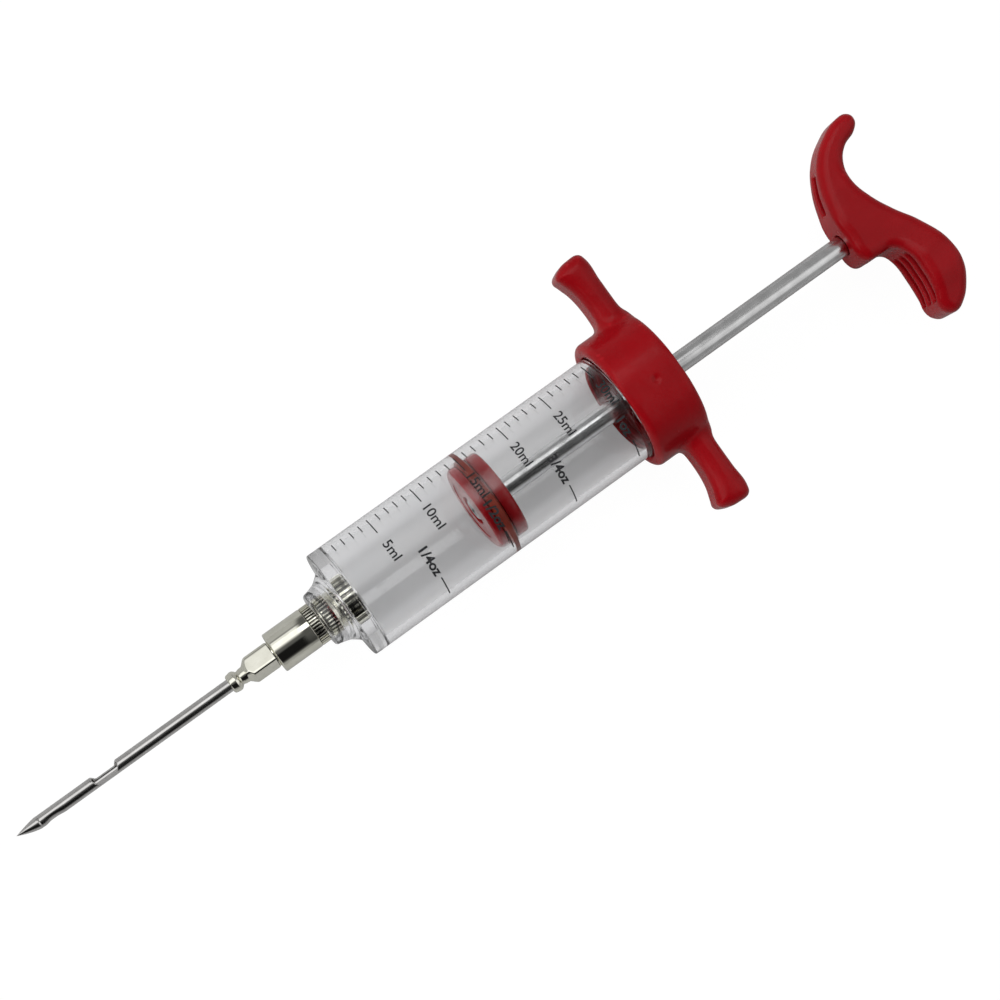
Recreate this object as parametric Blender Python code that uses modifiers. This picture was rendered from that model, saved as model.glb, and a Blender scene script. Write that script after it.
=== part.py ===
"""Marinade injector: needle, Luer-lock nozzle, clear barrel, screw cap with finger wings, and plunger.

+X runs along the barrel from the needle to the handle, +Z is up, and the injector lies on the
flat of its cap. Every turned piece is a profile in (radius, x) on one shared axis.
"""

import math

import bmesh
import bpy
from mathutils import Vector

MM = 0.001

# Driving dimensions, in millimetres. x = 0 is half way along the injector.
AXIS_HEIGHT = 15.9
FIT_GAP = 0.1
ROUND_STEPS = 40

TUBE_R = 1.5
TUBE_BORE_R = 1.0
POINT_X = -125.44
TUBE_FRONT_X = -119.4
TUBE_REAR_X = -60.4
PORT_X = (-104.4, -99.0)
PORT_SPREAD = (2.2, 1.0)
PORT_TURN = math.radians(35)

HUB_FRONT_X = -68.5
HUB_SQUARE_X = (-62.4, -56.9)
HUB_REAR_X = -49.3
HUB_FLATS = 5.3
HUB_TURN = math.radians(-24)
HUB_LUG_R = 3.9

SLEEVE_X = (-56.4, -46.5)
SLEEVE_R = 4.97
SLEEVE_BORE_R = 4.15
SLEEVE_SEAT_R = 3.05
NOZZLE_FACE_X = -48.3
CONE_FRONT_X = -55.8
CONE_FRONT_R = 1.98
CONE_TAPER = 0.03
NOZZLE_BORE_R = 1.1
KNURL_OUTER_X = (-46.4, -44.1)
KNURL_NECK_X = (-42.9, -40.0)
FLANGE_X = (-38.1, -34.65)
KNURL_R = 4.95
FLANGE_R = 6.2
NOZZLE_BODY_R = 4.1

NECK_FRONT_X = -44.0
BARREL_FRONT_X = -38.0
BARREL_FLOOR_X = -34.6
BARREL_END_X = 50.2
BARREL_R = 13.5
BORE_R = 11.5
THREAD_START_X = 38.6
THREAD_R = 14.0

CAP_X = (39.5, 54.1)
CAP_R = 16.7
CAP_BORE_R = 14.35
CAP_FLOOR_X = 51.4
CAP_LIP = 1.4
CAP_HOLE_R = 4.0
WING_THICKNESS = 12.0
WING_ROUND = 2.2

PISTON_X = (-1.3, 6.6)
PISTON_R = 10.8
PISTON_SPLIT_X = 2.1
GROOVE_HALF_WIDTH = 1.3
GROOVE_FLOOR_R = 8.95
O_RING_CENTRE_R = 10.22
O_RING_SECTION_R = 1.15

ROD_R = 2.5
ROD_FRONT_X = 4.9
ROD_THREAD_X = (107.6, 114.2)
ROD_THREAD_R = 2.0
SCREW_R = 1.45
SCREW_HEAD_R = 3.0

HANDLE_FACE_X = 105.9
HANDLE_THICKNESS = 15.0
HANDLE_ROUND = 2.4
INSERT_R = 3.8

COLOURS = {
    "red_plastic": ((0.36, 0.012, 0.018), 0.32, 0.0),
    "clear_plastic": ((0.86, 0.88, 0.89), 0.08, 0.0),
    "nickel": ((0.72, 0.70, 0.66), 0.16, 1.0),
    "steel": ((0.58, 0.58, 0.57), 0.24, 1.0),
    "silicone": ((0.62, 0.12, 0.04), 0.55, 0.0),
    "white_nylon": ((0.80, 0.79, 0.75), 0.45, 0.0),
    "brass": ((0.72, 0.52, 0.22), 0.30, 1.0),
}

parts = None
cutters = None


def clear_scene():
    for obj in list(bpy.data.objects):
        bpy.data.objects.remove(obj, do_unlink=True)


def new_collection(name):
    collection = bpy.data.collections.new(name)
    bpy.context.scene.collection.children.link(collection)
    return collection


def new_material(name, finish):
    colour, roughness, metallic = COLOURS[finish]
    material = bpy.data.materials.new(name + "_" + finish)
    material.use_nodes = True
    shader = material.node_tree.nodes["Principled BSDF"]
    shader.inputs["Base Color"].default_value = (*colour, 1.0)
    shader.inputs["Roughness"].default_value = roughness
    shader.inputs["Metallic"].default_value = metallic
    material.diffuse_color = (*colour, 1.0)
    return material


def add_object(name, mesh, finish, collection):
    obj = bpy.data.objects.new(name, mesh)
    collection.objects.link(obj)
    if finish:
        mesh.materials.append(new_material(name, finish))
        mesh.shade_smooth()
        mesh.set_sharp_from_angle(angle=math.radians(35))
    else:
        obj.hide_render = True
        obj.display_type = "WIRE"
    return obj


def turned(name, profile, finish, segments=28, closed=True, collection=None):
    """A profile of (radius, x) points in millimetres, turned round the injector's axis.

    The points run down the outer side, from high x to low x, and back up the bore of a ring.
    """
    mesh = bpy.data.meshes.new(name)
    points = [(r * MM, 0.0, x * MM) for r, x in profile]
    edges = [(i, i + 1) for i in range(len(points) - 1)]
    if closed:
        edges.append((len(points) - 1, 0))
    mesh.from_pydata(points, edges, [])
    obj = add_object(name, mesh, finish, collection or parts)
    obj.rotation_euler = (0.0, math.pi / 2, 0.0)
    obj.location = (0.0, 0.0, AXIS_HEIGHT * MM)
    screw = obj.modifiers.new("turn", "SCREW")
    screw.axis = "Z"
    screw.angle = 2 * math.pi
    screw.steps = segments
    screw.render_steps = segments
    screw.use_merge_vertices = True
    screw.merge_threshold = 0.00001
    screw.use_smooth_shade = bool(finish)
    return obj


def arc(centre_r, centre_x, radius, start, end, steps):
    """Points of an arc in (radius, x). Angle 0 points away from the axis and 90 along +x."""
    angles = [math.radians(start + (end - start) * i / steps) for i in range(steps + 1)]
    return [(centre_r + radius * math.cos(a), centre_x + radius * math.sin(a)) for a in angles]


def block(name, low, high, turn=0.0):
    """A box cutter between two corners, turned round the injector's axis."""
    mesh = bpy.data.meshes.new(name)
    shape = bmesh.new()
    bmesh.ops.create_cube(shape, size=1.0)
    size = [(b - a) * MM for a, b in zip(low, high)]
    centre = [(a + b) / 2 * MM for a, b in zip(low, high)]
    bmesh.ops.scale(shape, vec=size, verts=shape.verts)
    bmesh.ops.translate(shape, vec=centre, verts=shape.verts)
    shape.to_mesh(mesh)
    shape.free()
    obj = add_object(name, mesh, None, cutters)
    obj.rotation_euler = (turn, 0.0, 0.0)
    obj.location = (0.0, 0.0, AXIS_HEIGHT * MM)
    return obj


def boolean(obj, other, operation="DIFFERENCE"):
    modifier = obj.modifiers.new(other.name, "BOOLEAN")
    modifier.operation = operation
    modifier.object = other
    return modifier


def plate(name, outline, half_thickness, rounding, finish, collection=None):
    """A flat piece from a smooth closed outline of (x, y) points, with rounded edges."""
    curve = bpy.data.curves.new(name, "CURVE")
    curve.dimensions = "2D"
    curve.fill_mode = "BOTH"
    curve.extrude = (half_thickness - rounding) * MM
    curve.bevel_depth = rounding * MM
    curve.bevel_resolution = 1
    curve.offset = -rounding * MM
    curve.resolution_u = 2
    spline = curve.splines.new("BEZIER")
    spline.bezier_points.add(len(outline) - 1)
    for point, (x, y) in zip(spline.bezier_points, outline):
        point.co = (x * MM, y * MM, 0.0)
        point.handle_left_type = "AUTO"
        point.handle_right_type = "AUTO"
    spline.use_cyclic_u = True
    guide = bpy.data.objects.new(name + "_outline", curve)
    cutters.objects.link(guide)
    bpy.context.view_layer.update()
    evaluated = guide.evaluated_get(bpy.context.evaluated_depsgraph_get())
    mesh = bpy.data.meshes.new_from_object(evaluated)
    mesh.name = name
    bpy.data.objects.remove(guide, do_unlink=True)
    shape = bmesh.new()
    shape.from_mesh(mesh)
    bmesh.ops.remove_doubles(shape, verts=shape.verts, dist=0.000005)
    bmesh.ops.recalc_face_normals(shape, faces=shape.faces)
    shape.to_mesh(mesh)
    shape.free()
    mesh.materials.clear()
    obj = add_object(name, mesh, finish, collection or parts)
    obj.location = (0.0, 0.0, AXIS_HEIGHT * MM)
    return obj


def needle_point():
    spigot_r = TUBE_BORE_R - FIT_GAP
    profile = [(0.0, TUBE_FRONT_X + 4.0), (spigot_r, TUBE_FRONT_X + 4.0), (spigot_r, TUBE_FRONT_X - 0.05)]
    profile += [(TUBE_R, TUBE_FRONT_X - 0.05), (TUBE_R, TUBE_FRONT_X - 0.7)]
    profile += [(1.25, TUBE_FRONT_X - 2.2), (0.8, TUBE_FRONT_X - 3.9), (0.0, POINT_X)]
    return turned("needle_point", profile, "steel", segments=20, closed=False)


def port_cutter():
    """A slot across the tube, wider at its mouth than at its floor."""
    low, high = (PORT_X[0], -3.0, -0.35), (PORT_X[1], 3.0, 3.0)
    cutter = block("port_cutter", low, high, PORT_TURN - math.pi / 2)
    for vertex in cutter.data.vertices:
        if vertex.co.z < 0:
            continue
        if vertex.co.x < sum(PORT_X) / 2 * MM:
            vertex.co.x -= PORT_SPREAD[0] * MM
        else:
            vertex.co.x += PORT_SPREAD[1] * MM
    return cutter


def needle_tube():
    profile = [(TUBE_R, TUBE_REAR_X), (TUBE_R, TUBE_FRONT_X)]
    profile += [(TUBE_BORE_R, TUBE_FRONT_X), (TUBE_BORE_R, TUBE_REAR_X)]
    tube = turned("needle_tube", profile, "steel", segments=20)
    boolean(tube, port_cutter())
    return tube


def cone_r(x):
    """Radius of the male Luer cone at x."""
    return CONE_FRONT_R + (x - CONE_FRONT_X) * CONE_TAPER


def needle_hub():
    corner_r = HUB_FLATS / math.sqrt(2) - 0.15
    square_front, square_rear = HUB_SQUARE_X
    socket_x = CONE_FRONT_X - 1.4
    profile = [(HUB_LUG_R, HUB_REAR_X), (HUB_LUG_R, HUB_REAR_X - 2.0), (3.1, HUB_REAR_X - 2.3)]
    profile += [(3.1, square_rear), (corner_r, square_rear), (corner_r, square_front)]
    profile += [(1.9, square_front - 1.8), (1.85, square_front - 2.8), (1.62, square_front - 3.3)]
    profile += arc(1.25, HUB_FRONT_X + 1.25, 1.15, 50, -60, 6)
    profile += [(TUBE_R + FIT_GAP, HUB_FRONT_X), (TUBE_R + FIT_GAP, TUBE_REAR_X + 0.15)]
    profile += [(TUBE_BORE_R, TUBE_REAR_X + 0.15), (TUBE_BORE_R, socket_x)]
    profile += [(cone_r(socket_x) + FIT_GAP, socket_x), (cone_r(HUB_REAR_X) + FIT_GAP, HUB_REAR_X)]
    hub = turned("needle_hub", profile, "nickel")
    flat = HUB_FLATS / 2
    frame = block("hub_flats_frame", (square_front - 2.0, -8, -8), (square_rear + 0.01, 8, 8), HUB_TURN)
    low, high = (square_front - 4.0, -flat, -flat), (square_rear + 2, flat, flat)
    core = block("hub_flats_core", low, high, HUB_TURN)
    boolean(frame, core)
    boolean(hub, frame)
    return hub


def needle_washer():
    outer, inner = 3.85, cone_r(NOZZLE_FACE_X) + 0.25
    low, high = HUB_REAR_X + FIT_GAP, NOZZLE_FACE_X - FIT_GAP
    profile = [(outer, high), (outer, low), (inner, low), (inner, high)]
    return turned("needle_washer", profile, "white_nylon")


def lock_sleeve():
    front, rear = SLEEVE_X
    seat_x = NOZZLE_FACE_X + 0.1
    profile = [(SLEEVE_R, rear), (SLEEVE_R, front + 0.5)]
    profile += arc(SLEEVE_R - 0.4, front + 0.4, 0.4, 0, -90, 3)
    profile += [(SLEEVE_BORE_R, front), (SLEEVE_BORE_R, seat_x)]
    profile += [(SLEEVE_SEAT_R, seat_x), (SLEEVE_SEAT_R, rear)]
    return turned("lock_sleeve", profile, "nickel")


def nozzle_insert():
    neck_r = SLEEVE_SEAT_R - FIT_GAP
    profile = [(FLANGE_R, FLANGE_X[1]), (FLANGE_R, FLANGE_X[0]), (NOZZLE_BODY_R, FLANGE_X[0])]
    profile += [(NOZZLE_BODY_R, KNURL_NECK_X[1]), (KNURL_R, KNURL_NECK_X[1]), (KNURL_R, KNURL_NECK_X[0])]
    profile += [(NOZZLE_BODY_R, KNURL_NECK_X[0]), (NOZZLE_BODY_R, KNURL_OUTER_X[1])]
    profile += [(KNURL_R, KNURL_OUTER_X[1]), (KNURL_R, KNURL_OUTER_X[0]), (neck_r, KNURL_OUTER_X[0])]
    profile += [(neck_r, NOZZLE_FACE_X), (cone_r(NOZZLE_FACE_X), NOZZLE_FACE_X)]
    profile += [(cone_r(CONE_FRONT_X), CONE_FRONT_X), (NOZZLE_BORE_R, CONE_FRONT_X)]
    profile += [(NOZZLE_BORE_R, FLANGE_X[1] - 2.0), (3.0, FLANGE_X[1])]
    return turned("nozzle_insert", profile, "nickel")


def barrel():
    """Neck, base plate and tube in one clear moulding, moulded round the nozzle insert."""
    neck = arc(12.0, BARREL_FRONT_X - 3.9, 4.2, 165, 112, 4)
    profile = [(THREAD_R - 0.4, BARREL_END_X), (THREAD_R, BARREL_END_X - 0.4)]
    profile += [(THREAD_R, THREAD_START_X + 0.5), (BARREL_R, THREAD_START_X)]
    profile += [(BARREL_R, BARREL_FRONT_X + 0.25), (BARREL_R - 0.25, BARREL_FRONT_X)]
    profile += [(r, x) for r, x in reversed(neck)]
    profile += [(6.85, NECK_FRONT_X + 0.7), (6.2, NECK_FRONT_X)]
    body_r, knurl_r, flange_r = NOZZLE_BODY_R + FIT_GAP, KNURL_R + FIT_GAP, FLANGE_R + FIT_GAP
    profile += [(body_r, NECK_FRONT_X), (body_r, KNURL_NECK_X[0] - FIT_GAP)]
    profile += [(knurl_r, KNURL_NECK_X[0] - FIT_GAP), (knurl_r, KNURL_NECK_X[1] + FIT_GAP)]
    profile += [(body_r, KNURL_NECK_X[1] + FIT_GAP), (body_r, FLANGE_X[0] - FIT_GAP)]
    profile += [(flange_r, FLANGE_X[0] - FIT_GAP), (flange_r, BARREL_FLOOR_X)]
    profile += [(BORE_R - 0.6, BARREL_FLOOR_X), (BORE_R, BARREL_FLOOR_X + 0.6), (BORE_R, BARREL_END_X)]
    return turned("barrel", profile, "clear_plastic", segments=ROUND_STEPS)


def wing_outline():
    """Finger wing on the +Y side: straight towards the handle, hollowed towards the needle."""
    needle_side = [(46.6, 13.6), (46.8, 18.4), (46.85, 22.6), (46.3, 27.2), (45.4, 30.0)]
    tip = [(44.95, 31.9), (46.6, 33.3), (49.8, 33.95), (52.5, 33.6), (53.3, 32.0)]
    handle_side = [(53.3, 26.0), (53.3, 20.0), (53.3, 13.6)]
    return needle_side + tip + handle_side


def cap():
    front, rear = CAP_X
    profile = [(0.0, rear), (CAP_R - CAP_LIP, rear)]
    profile += arc(CAP_R - CAP_LIP, rear - CAP_LIP, CAP_LIP, 60, 0, 2)
    profile += arc(CAP_R - CAP_LIP, front + CAP_LIP, CAP_LIP, 0, -60, 2)
    profile += [(CAP_R - CAP_LIP, front), (0.0, front)]
    body = turned("cap", profile, "red_plastic", segments=ROUND_STEPS, closed=False)
    for side, name in ((1, "wing_left"), (-1, "wing_right")):
        outline = [(x, side * y) for x, y in wing_outline()]
        wing = plate(name, outline[::side], WING_THICKNESS / 2, WING_ROUND, None, cutters)
        boolean(body, wing, "UNION")
    hollow = [(0.0, CAP_FLOOR_X), (CAP_BORE_R, CAP_FLOOR_X), (CAP_BORE_R, front - 1.0), (0.0, front - 1.0)]
    boolean(body, turned("cap_hollow", hollow, None, ROUND_STEPS, False, cutters))
    hole = [(0.0, rear + 1.0), (CAP_HOLE_R, rear + 1.0)]
    hole += [(CAP_HOLE_R, CAP_FLOOR_X - 1.0), (0.0, CAP_FLOOR_X - 1.0)]
    boolean(body, turned("cap_rod_hole", hole, None, 28, False, cutters))
    far = 2 * CAP_R
    for side, name in ((1, "cap_flat_top"), (-1, "cap_flat_bottom")):
        low, high = sorted((side * AXIS_HEIGHT, side * far))
        boolean(body, block(name, (front - 1.0, -far, low), (rear + 1.0, far, high)))
    return body


def cap_seal_ring():
    low, high = BARREL_END_X + FIT_GAP, CAP_FLOOR_X - FIT_GAP
    profile = [(13.9, high), (13.9, low), (11.9, low), (11.9, high)]
    return turned("cap_seal_ring", profile, "silicone")


def rod_guide_bush():
    inner, outer = ROD_R + FIT_GAP, CAP_HOLE_R - FIT_GAP
    flange_x = CAP_FLOOR_X - FIT_GAP
    profile = [(outer, CAP_X[1] - 0.1), (outer, flange_x), (5.4, flange_x), (5.4, flange_x - 0.8)]
    profile += [(inner, flange_x - 0.8), (inner, CAP_X[1] - 0.1)]
    return turned("rod_guide_bush", profile, "white_nylon")


def piston_front_disc():
    front = PISTON_X[0]
    groove_x = PISTON_SPLIT_X - GROOVE_HALF_WIDTH
    split_x = PISTON_SPLIT_X - 0.05
    profile = [(GROOVE_FLOOR_R, split_x), (GROOVE_FLOOR_R, groove_x), (PISTON_R, groove_x)]
    profile += [(PISTON_R, front + 0.4), (PISTON_R - 0.4, front), (7.6, front), (7.2, front + 0.5)]
    profile += [(SCREW_HEAD_R + 0.7, front + 0.5), (SCREW_HEAD_R + 0.7, front + 1.9)]
    profile += [(SCREW_R + 0.15, front + 1.9), (SCREW_R + 0.15, split_x)]
    return turned("piston_front_disc", profile, "red_plastic", segments=ROUND_STEPS)


def piston_rear_disc():
    rear = PISTON_X[1]
    groove_x = PISTON_SPLIT_X + GROOVE_HALF_WIDTH
    split_x = PISTON_SPLIT_X + 0.05
    socket_r = ROD_R + FIT_GAP
    profile = [(PISTON_R - 0.4, rear), (PISTON_R, rear - 0.4), (PISTON_R, groove_x)]
    profile += [(GROOVE_FLOOR_R, groove_x), (GROOVE_FLOOR_R, split_x), (SCREW_R + 0.15, split_x)]
    profile += [(SCREW_R + 0.15, ROD_FRONT_X - FIT_GAP), (socket_r, ROD_FRONT_X - FIT_GAP), (socket_r, rear)]
    return turned("piston_rear_disc", profile, "red_plastic", segments=ROUND_STEPS)


def piston_o_ring():
    section = arc(O_RING_CENTRE_R, PISTON_SPLIT_X, O_RING_SECTION_R, 90, -225, 7)
    return turned("piston_o_ring", section, "silicone", segments=ROUND_STEPS)


def piston_washer():
    rear = PISTON_X[0] + 1.9 - 0.05
    inner, outer = SCREW_R + FIT_GAP, SCREW_HEAD_R + 0.4
    profile = [(outer, rear), (outer, rear - 0.5), (inner, rear - 0.5), (inner, rear)]
    return turned("piston_washer", profile, "steel")


def piston_screw():
    """Pan-head screw from the piston's front face into the rod's tapped end."""
    seat = PISTON_X[0] + 1.3
    profile = [(0.0, ROD_FRONT_X + 7.0), (SCREW_R, ROD_FRONT_X + 7.0), (SCREW_R, seat), (SCREW_HEAD_R, seat)]
    profile += [(SCREW_HEAD_R, seat - 0.7), (SCREW_HEAD_R - 0.6, seat - 1.1), (0.0, seat - 1.1)]
    screw = turned("piston_screw", profile, "steel", closed=False)
    for name, half_y, half_z in (("drive_slot_a", 0.35, 1.6), ("drive_slot_b", 1.6, 0.35)):
        boolean(screw, block(name, (seat - 3.0, -half_y, -half_z), (seat - 0.5, half_y, half_z)))
    return screw


def plunger_rod():
    rear, end = ROD_THREAD_X
    tap_r = SCREW_R + FIT_GAP
    profile = [(0.0, end), (ROD_THREAD_R - 0.4, end), (ROD_THREAD_R, end - 0.4), (ROD_THREAD_R, rear)]
    profile += [(ROD_R, rear), (ROD_R, ROD_FRONT_X + 0.3), (ROD_R - 0.3, ROD_FRONT_X)]
    profile += [(tap_r, ROD_FRONT_X), (tap_r, ROD_FRONT_X + 8.0), (0.0, ROD_FRONT_X + 8.5)]
    return turned("plunger_rod", profile, "steel", closed=False)


def handle_insert():
    low, high = ROD_THREAD_X[0] + FIT_GAP, ROD_THREAD_X[1] + 0.3
    bore = ROD_THREAD_R + FIT_GAP
    profile = [(INSERT_R, high), (INSERT_R, low), (bore, low), (bore, high)]
    return turned("handle_insert", profile, "brass")


def handle_outline():
    """S-shaped T-handle seen from above: one arm curls back, the other curls round the fingers."""
    upper_arm = [(105.9, 5.1), (106.5, 8.1), (108.6, 14.5), (112.0, 19.7), (116.6, 23.1), (121.2, 24.8)]
    upper_tip = [(124.2, 24.4), (125.0, 22.3), (123.4, 20.2)]
    palm = [(119.4, 18.5), (116.6, 15.5), (115.5, 11.4), (116.6, 5.7), (119.2, 0.3), (123.0, -5.9)]
    lower_arm = [(125.2, -13.3), (125.2, -18.5), (123.5, -23.1), (120.2, -26.8), (117.4, -27.8)]
    finger_side = [(115.2, -26.5), (114.5, -24.3), (115.4, -20.9), (116.0, -15.5)]
    finger_side += [(115.6, -10.3), (113.4, -7.2)]
    boss = [(109.6, -6.8), (107.0, -6.3), (105.9, -4.5), (105.9, 0.3)]
    return upper_arm + upper_tip + palm + lower_arm + finger_side + boss


def share(value, start, end):
    """How far value has gone from start to end, from 0 to 1."""
    return min(1.0, max(0.0, (value - start) / (end - start)))


def handle_swell(y):
    """Thickness of the handle across Z at y, as a share of the boss's. The lower arm is a spoon."""
    if y > 0:
        return 1.0 - 0.30 * share(y, 4.0, 20.0)
    return 1.0 + 0.26 * share(-y, 5.0, 13.0) - 0.34 * share(-y, 17.0, 28.0)


def handle():
    body = plate("handle", handle_outline()[::-1], HANDLE_THICKNESS / 2, HANDLE_ROUND, "red_plastic")
    for vertex in body.data.vertices:
        vertex.co.z *= handle_swell(vertex.co.y / MM)
    end = ROD_THREAD_X[1] + 0.6
    shoulder = ROD_THREAD_X[0]
    bore = [(0.0, end), (INSERT_R + FIT_GAP, end), (INSERT_R + FIT_GAP, shoulder), (ROD_R + 0.15, shoulder)]
    bore += [(ROD_R + 0.15, HANDLE_FACE_X - 1.0), (0.0, HANDLE_FACE_X - 1.0)]
    boolean(body, turned("handle_bore", bore, None, 28, False, cutters))
    for index, height in enumerate((-4.3, 0.0, 4.3)):
        cutter = plate("finger_groove_%d" % (index + 1), groove_outline(), 1.2, 0.4, None, cutters)
        cutter.location.z += height * MM
        boolean(body, cutter)
    slot = plate("upper_slot_cutter", slot_outline(), 1.5, 0.4, None, cutters)
    boolean(body, slot)
    return body


def groove_outline():
    """Outline of one finger groove, which follows the hollow of the lower arm."""
    mouth = [(113.2, -10.5), (112.6, -15.9), (112.6, -21.1)]
    floor = [(115.6, -23.1), (117.4, -21.3), (118.0, -16.1), (117.6, -11.5), (115.8, -9.9)]
    return (mouth + floor)[::-1]


def slot_outline():
    """Outline of the slot in the needle side of the upper arm."""
    mouth = [(105.0, 9.5), (105.4, 13.1), (107.6, 16.9)]
    floor = [(110.6, 16.1), (110.4, 12.5), (108.8, 8.9), (106.6, 8.1)]
    return mouth + floor


def add_axis_empties(pieces):
    """One empty on the axis for each group that moves as one, with its pieces parented to it."""
    groups = {
        "needle_axis": ("needle_point", "needle_tube", "needle_hub"),
        "cap_axis": ("cap", "rod_guide_bush"),
        "plunger_axis": (
            "plunger_rod", "piston_front_disc", "piston_rear_disc", "piston_screw",
            "piston_washer", "handle_insert", "handle",
        ),
    }
    starts = {"needle_axis": HUB_REAR_X, "cap_axis": CAP_X[0], "plunger_axis": PISTON_SPLIT_X}
    for name, members in groups.items():
        empty = bpy.data.objects.new(name, None)
        empty.location = Vector((starts[name], 0.0, AXIS_HEIGHT)) * MM
        empty.empty_display_size = 5 * MM
        parts.objects.link(empty)
        bpy.context.view_layer.update()
        for member in members:
            pieces[member].parent = empty
            pieces[member].matrix_parent_inverse = empty.matrix_world.inverted()


def main():
    global parts, cutters
    clear_scene()
    parts = new_collection("marinade_injector")
    cutters = new_collection("cutters")
    makers = (
        needle_point, needle_tube, needle_hub, needle_washer, lock_sleeve, nozzle_insert, barrel,
        cap, cap_seal_ring, rod_guide_bush, piston_front_disc, piston_rear_disc, piston_o_ring,
        piston_washer, piston_screw, plunger_rod, handle_insert, handle,
    )
    pieces = {}
    for maker in makers:
        obj = maker()
        pieces[obj.name] = obj
    add_axis_empties(pieces)


main()
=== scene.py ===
"""Marinade injector, finished: fine meshes, procedural materials, studio light and camera.

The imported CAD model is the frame, and each piece is sized and placed from the CAD nodes that it
stands for. Lengths and places are in millimetres, and become metres where a mesh is made.
"""

import math
from collections import namedtuple

import bmesh
import bpy
import numpy as np
from mathutils import Matrix, Vector

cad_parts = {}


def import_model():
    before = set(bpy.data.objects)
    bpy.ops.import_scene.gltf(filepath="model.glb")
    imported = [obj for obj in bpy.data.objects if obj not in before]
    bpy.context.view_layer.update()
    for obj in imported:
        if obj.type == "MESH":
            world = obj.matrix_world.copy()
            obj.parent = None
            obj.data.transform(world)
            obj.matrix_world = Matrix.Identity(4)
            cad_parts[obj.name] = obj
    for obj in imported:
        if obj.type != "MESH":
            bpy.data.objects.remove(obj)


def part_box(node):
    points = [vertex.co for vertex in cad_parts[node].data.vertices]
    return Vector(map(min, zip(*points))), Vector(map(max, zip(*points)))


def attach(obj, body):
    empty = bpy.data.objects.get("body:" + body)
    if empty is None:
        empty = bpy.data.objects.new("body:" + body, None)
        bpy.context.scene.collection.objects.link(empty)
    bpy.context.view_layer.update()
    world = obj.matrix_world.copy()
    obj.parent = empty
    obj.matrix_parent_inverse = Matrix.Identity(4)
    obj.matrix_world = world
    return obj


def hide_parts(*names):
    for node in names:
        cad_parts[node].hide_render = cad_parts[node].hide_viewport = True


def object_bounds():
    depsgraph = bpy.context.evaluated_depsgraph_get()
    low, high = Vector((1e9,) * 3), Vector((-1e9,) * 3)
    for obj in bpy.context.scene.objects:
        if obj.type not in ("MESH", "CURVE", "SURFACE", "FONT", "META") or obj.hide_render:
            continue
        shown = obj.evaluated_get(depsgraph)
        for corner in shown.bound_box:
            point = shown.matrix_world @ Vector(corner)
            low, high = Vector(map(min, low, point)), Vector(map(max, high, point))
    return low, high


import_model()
CAD_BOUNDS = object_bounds()

MM = 0.001
SAME_POINT = 0.0005  # millimetres: points nearer than this are one
Span = namedtuple("Span", "start end radius")


def span(node):
    """Where a turned CAD node starts and ends along the axis, and its radius, in millimetres."""
    low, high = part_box(node)
    return Span(low.x / MM, high.x / MM, (high.y - low.y) / 2 / MM)


AXIS_Z = sum(corner.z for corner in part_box("plunger_rod")) / 2 / MM
BARREL = span("barrel")
INSERT = span("nozzle_insert")
SLEEVE = span("lock_sleeve")
HUB = span("needle_hub")
TUBE = span("needle_tube")
POINT = span("needle_point")
WASHER = span("needle_washer")
CAP = span("cap")
SEAL = span("cap_seal_ring")
BUSH = span("rod_guide_bush")
FRONT_DISC = span("piston_front_disc")
REAR_DISC = span("piston_rear_disc")
O_RING = span("piston_o_ring")
PISTON_WASHER = span("piston_washer")
SCREW = span("piston_screw")
ROD = span("plunger_rod")
HANDLE_INSERT = span("handle_insert")
HANDLE = span("handle")

# Sizes that no box gives, the same as in the CAD model.
TUBE_WALL = 0.5
BORE_R = 11.5
WALL_R = 13.5
FLOOR_X = -34.6
BASE_X = -38.0
CAP_R = 16.7
CAP_BORE_R = 14.35
CAP_FLOOR_X = 51.4
PORT_START, PORT_END = -104.4, -99.0
SLEEVE_BORE_R, SLEEVE_SEAT_R = 4.15, 3.05
KNURL_R = 4.95
CONE_TAPER = 0.03
CONE_FRONT_R = 1.98
FLATS = 5.3
FLATS_TURN = math.radians(24)
CAP_PITCH = 3.0
LUER_LEAD = 5.08
PORT_TURN = math.radians(35)

RED_DARK, RED, RED_LIGHT = (0.20, 0.002, 0.004), (0.26, 0.003, 0.006), (0.33, 0.007, 0.012)


# ---- meshes ----


def add_piece(name, shape, body, material, replaced=(), sharp=40):
    """A mesh piece on the injector's axis, closed and facing out, riding on a CAD body."""
    bmesh.ops.remove_doubles(shape, verts=shape.verts, dist=SAME_POINT * MM)
    bmesh.ops.dissolve_degenerate(shape, edges=shape.edges, dist=SAME_POINT * MM)
    bmesh.ops.recalc_face_normals(shape, faces=shape.faces)
    mesh = bpy.data.meshes.new(name)
    shape.to_mesh(mesh)
    shape.free()
    mesh.materials.append(material)
    mesh.shade_smooth()
    mesh.set_sharp_from_angle(angle=math.radians(sharp))
    piece = bpy.data.objects.new(name, mesh)
    piece.location.z = AXIS_Z * MM
    bpy.context.scene.collection.objects.link(piece)
    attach(piece, body)
    if replaced:
        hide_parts(*replaced)
    return piece


def rounded(corners, steps=4):
    """The closed or open run of (x, radius, fillet) corners, each fillet turned into an arc."""
    points = []
    for i, (x, r, fillet) in enumerate(corners):
        here = Vector((x, r))
        if not fillet:
            points.append((x, r))
            continue
        before = Vector(corners[i - 1][:2]) - here
        after = Vector(corners[(i + 1) % len(corners)][:2]) - here
        half = before.angle(after) / 2
        reach = min(fillet / math.tan(half), before.length * 0.49, after.length * 0.49)
        before.normalize()
        after.normalize()
        radius = reach * math.tan(half)
        centre = here + (before + after).normalized() * radius / math.sin(half)
        first, last = here + before * reach - centre, here + after * reach - centre
        for k in range(steps + 1):
            spoke = first.lerp(last, k / steps).normalized() * radius
            points.append(tuple(centre + spoke))
    return points


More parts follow.
